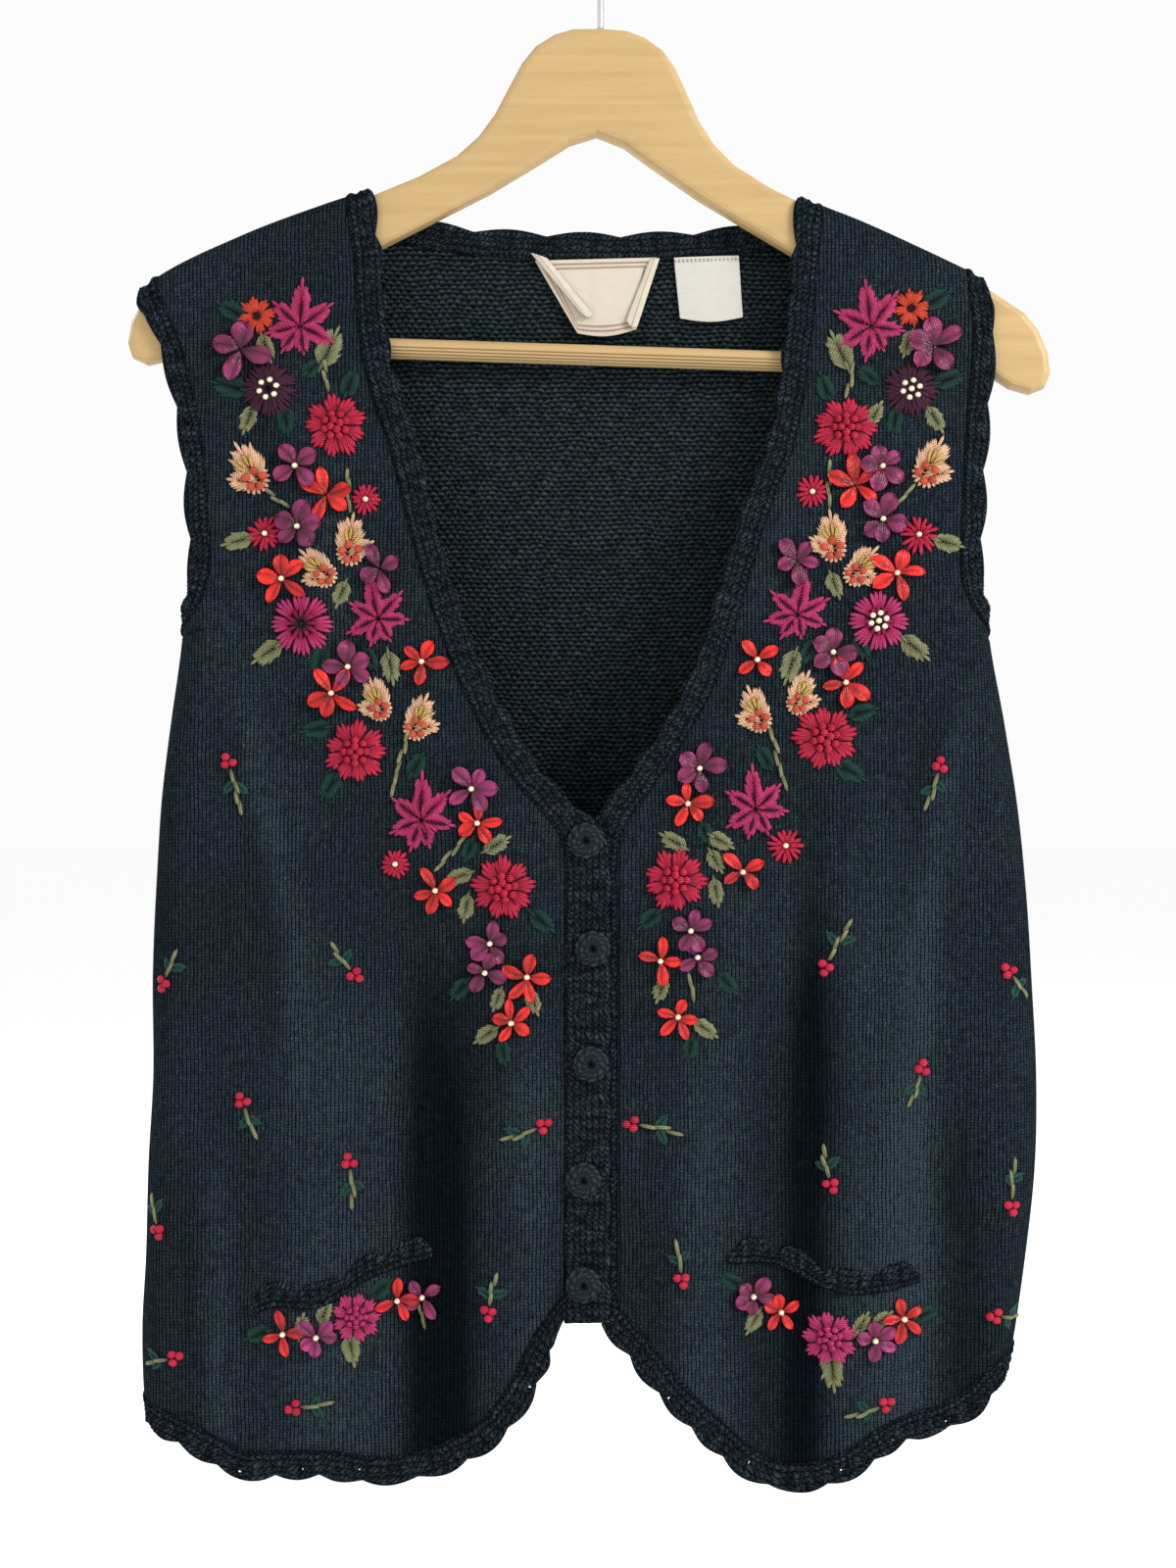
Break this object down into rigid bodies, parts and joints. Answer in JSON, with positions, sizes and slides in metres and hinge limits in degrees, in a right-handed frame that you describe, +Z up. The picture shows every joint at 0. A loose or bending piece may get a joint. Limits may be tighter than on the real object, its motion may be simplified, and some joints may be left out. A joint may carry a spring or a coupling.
{
  "type": "embroidered vest on a clothes hanger",
  "caption": "Sleeveless V-neck knitted vest with embroidered flower sprays, crochet edgings, a buttoned placket and welt pockets, hung on a wooden clothes hanger with a trouser bar.",
  "frame": {"origin": "inside top of the hanger's hook, where a rail holds it", "axes": "+Z up, the front faces -Y, the wearer's right front lies at -X"},
  "size_m": [0.4507, 0.0602, 0.7855],
  "materials": {
    "knit": "fine stockinette knit in very dark green-black wool",
    "crochet": "crochet in the same dark yarn",
    "embroidery": "yarn and satin ribbon embroidery in crimson, magenta, plum, peach and olive",
    "beads": "small pearl beads",
    "label": "woven ribbon label, left bare",
    "wood": "clear varnished pale wood",
    "wire": "polished wire"
  },
  "bodies": {
    "root": {"back_panel": "knit", "right_front": "knit", "left_front": "knit", "front_band_right": "crochet", "front_band_left": "crochet", "neck_edging_back": "crochet", "armhole_edging_right": "crochet", "armhole_edging_left": "crochet", "hem_edging_right": "crochet", "hem_edging_left": "crochet", "hem_edging_back": "crochet", "pocket_edging_right": "crochet", "pocket_edging_left": "crochet", "button_1": "crochet", "button_2": "crochet", "button_3": "crochet", "button_4": "crochet", "button_5": "crochet", "name_label": "label", "care_label": "label", "hanger_body": "wood", "hanger_bar": "wood", "hanger_hook": "wire"}
  },
  "joints": []
}
